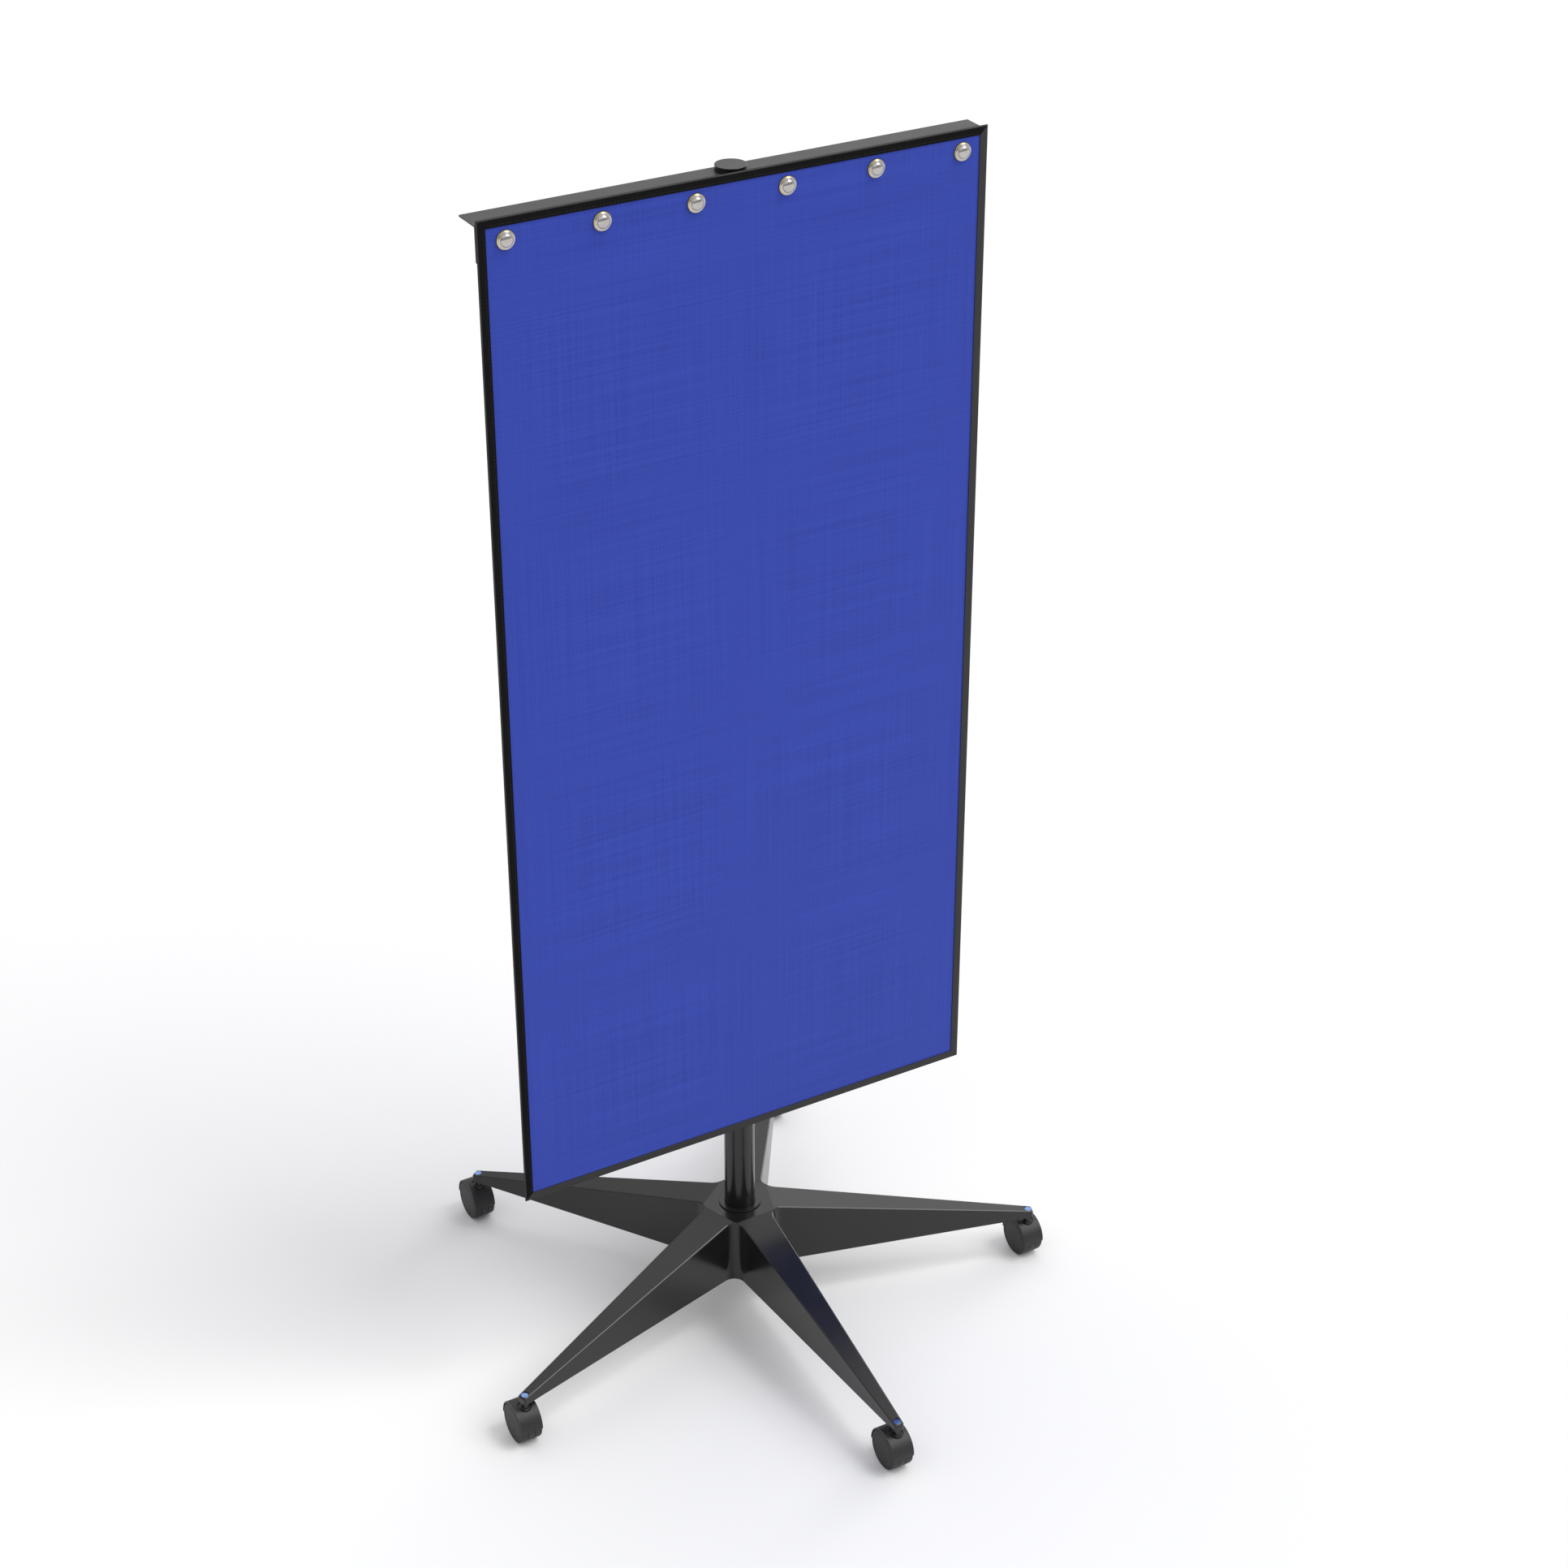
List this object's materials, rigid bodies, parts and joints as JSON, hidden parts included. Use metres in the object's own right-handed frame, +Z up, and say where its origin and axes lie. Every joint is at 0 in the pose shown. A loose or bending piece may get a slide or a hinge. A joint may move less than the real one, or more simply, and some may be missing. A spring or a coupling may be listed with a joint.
{
  "type": "welding curtain screen",
  "caption": "Mobile welding screen: a blue bound curtain hung by studs from an angle rail on a single post, on a star base with swivel casters.",
  "frame": {"origin": "the middle of the caster footprint, on the floor", "axes": "+X along the curtain's width to its right as seen from the front, +Y from the curtain's front to its back, +Z up"},
  "size_m": [0.75, 0.741, 1.4998],
  "materials": {
    "cast_coat": "die casting, satin black coat",
    "black_coat": "semi-gloss black powder coat",
    "rail_coat": "satin dark grey-black powder coat",
    "blue_cloth": "slubby woven blue curtain cloth, matt",
    "black_tape": "folded black edge tape, matt",
    "brass": "bright brass",
    "polished_steel": "polished",
    "zinc_steel": "bright zinc plate",
    "blue_zinc": "blue-passivated zinc plate",
    "caster_nylon": "moulded black nylon",
    "tread_rubber": "black moulded tread"
  },
  "bodies": {
    "stand": {"star_base": "cast_coat", "hub_collar": "black_coat", "post": "black_coat", "post_plug_bottom": "zinc_steel", "post_plug_top": "zinc_steel", "post_washer": "zinc_steel", "post_bolt": "zinc_steel", "post_cap": "black_coat", "top_rail": "rail_coat", "rail_screw": "zinc_steel", "curtain_sheet": "blue_cloth", "binding_bottom": "black_tape", "binding_top": "black_tape", "binding_right": "black_tape", "binding_left": "black_tape", "eyelet_1": "brass", "dome_screw_1": "polished_steel", "hex_nut_1": "zinc_steel", "eyelet_2": "brass", "dome_screw_2": "polished_steel", "hex_nut_2": "zinc_steel", "eyelet_3": "brass", "dome_screw_3": "polished_steel", "hex_nut_3": "zinc_steel", "eyelet_4": "brass", "dome_screw_4": "polished_steel", "hex_nut_4": "zinc_steel", "eyelet_5": "brass", "dome_screw_5": "polished_steel", "hex_nut_5": "zinc_steel", "eyelet_6": "brass", "dome_screw_6": "polished_steel", "hex_nut_6": "zinc_steel", "caster_stem_1": "blue_zinc", "caster_stem_2": "blue_zinc", "caster_stem_3": "blue_zinc", "caster_stem_4": "blue_zinc", "caster_stem_5": "blue_zinc"},
    "caster_1_swivel": {"caster_housing_1": "caster_nylon", "caster_axle_1": "zinc_steel"},
    "caster_1_left": {"caster_wheel_left_1": "tread_rubber"},
    "caster_1_right": {"caster_wheel_right_1": "tread_rubber"},
    "caster_2_swivel": {"caster_housing_2": "caster_nylon", "caster_axle_2": "zinc_steel"},
    "caster_2_left": {"caster_wheel_left_2": "tread_rubber"},
    "caster_2_right": {"caster_wheel_right_2": "tread_rubber"},
    "caster_3_swivel": {"caster_housing_3": "caster_nylon", "caster_axle_3": "zinc_steel"},
    "caster_3_left": {"caster_wheel_left_3": "tread_rubber"},
    "caster_3_right": {"caster_wheel_right_3": "tread_rubber"},
    "caster_4_swivel": {"caster_housing_4": "caster_nylon", "caster_axle_4": "zinc_steel"},
    "caster_4_left": {"caster_wheel_left_4": "tread_rubber"},
    "caster_4_right": {"caster_wheel_right_4": "tread_rubber"},
    "caster_5_swivel": {"caster_housing_5": "caster_nylon", "caster_axle_5": "zinc_steel"},
    "caster_5_left": {"caster_wheel_left_5": "tread_rubber"},
    "caster_5_right": {"caster_wheel_right_5": "tread_rubber"}
  },
  "joints": [
    {"name": "caster_1_turn", "type": "hinge", "parent": "stand", "child": "caster_1_swivel", "pos_m": [0, -0.35226, 0.045], "axis": [0, 0, 1], "continuous": true},
    {"name": "caster_1_left_roll", "type": "hinge", "parent": "caster_1_swivel", "child": "caster_1_left", "pos_m": [-0.0094, -0.34326, 0.025], "axis": [1, 0, 0], "continuous": true},
    {"name": "caster_1_right_roll", "type": "hinge", "parent": "caster_1_swivel", "child": "caster_1_right", "pos_m": [0.0094, -0.34326, 0.025], "axis": [1, 0, 0], "continuous": true},
    {"name": "caster_2_turn", "type": "hinge", "parent": "stand", "child": "caster_2_swivel", "pos_m": [0.36093, -0.09003, 0.045], "axis": [0, 0, 1], "continuous": true},
    {"name": "caster_2_left_roll", "type": "hinge", "parent": "caster_2_swivel", "child": "caster_2_left", "pos_m": [0.35153, -0.08103, 0.025], "axis": [1, 0, 0], "continuous": true},
    {"name": "caster_2_right_roll", "type": "hinge", "parent": "caster_2_swivel", "child": "caster_2_right", "pos_m": [0.37033, -0.08103, 0.025], "axis": [1, 0, 0], "continuous": true},
    {"name": "caster_3_turn", "type": "hinge", "parent": "stand", "child": "caster_3_swivel", "pos_m": [0.22307, 0.33426, 0.045], "axis": [0, 0, 1], "continuous": true},
    {"name": "caster_3_left_roll", "type": "hinge", "parent": "caster_3_swivel", "child": "caster_3_left", "pos_m": [0.21366, 0.34326, 0.025], "axis": [1, 0, 0], "continuous": true},
    {"name": "caster_3_right_roll", "type": "hinge", "parent": "caster_3_swivel", "child": "caster_3_right", "pos_m": [0.23247, 0.34326, 0.025], "axis": [1, 0, 0], "continuous": true},
    {"name": "caster_4_turn", "type": "hinge", "parent": "stand", "child": "caster_4_swivel", "pos_m": [-0.22307, 0.33426, 0.045], "axis": [0, 0, 1], "continuous": true},
    {"name": "caster_4_left_roll", "type": "hinge", "parent": "caster_4_swivel", "child": "caster_4_left", "pos_m": [-0.23247, 0.34326, 0.025], "axis": [1, 0, 0], "continuous": true},
    {"name": "caster_4_right_roll", "type": "hinge", "parent": "caster_4_swivel", "child": "caster_4_right", "pos_m": [-0.21366, 0.34326, 0.025], "axis": [1, 0, 0], "continuous": true},
    {"name": "caster_5_turn", "type": "hinge", "parent": "stand", "child": "caster_5_swivel", "pos_m": [-0.36093, -0.09003, 0.045], "axis": [0, 0, 1], "continuous": true},
    {"name": "caster_5_left_roll", "type": "hinge", "parent": "caster_5_swivel", "child": "caster_5_left", "pos_m": [-0.37033, -0.08103, 0.025], "axis": [1, 0, 0], "continuous": true},
    {"name": "caster_5_right_roll", "type": "hinge", "parent": "caster_5_swivel", "child": "caster_5_right", "pos_m": [-0.35153, -0.08103, 0.025], "axis": [1, 0, 0], "continuous": true}
  ]
}
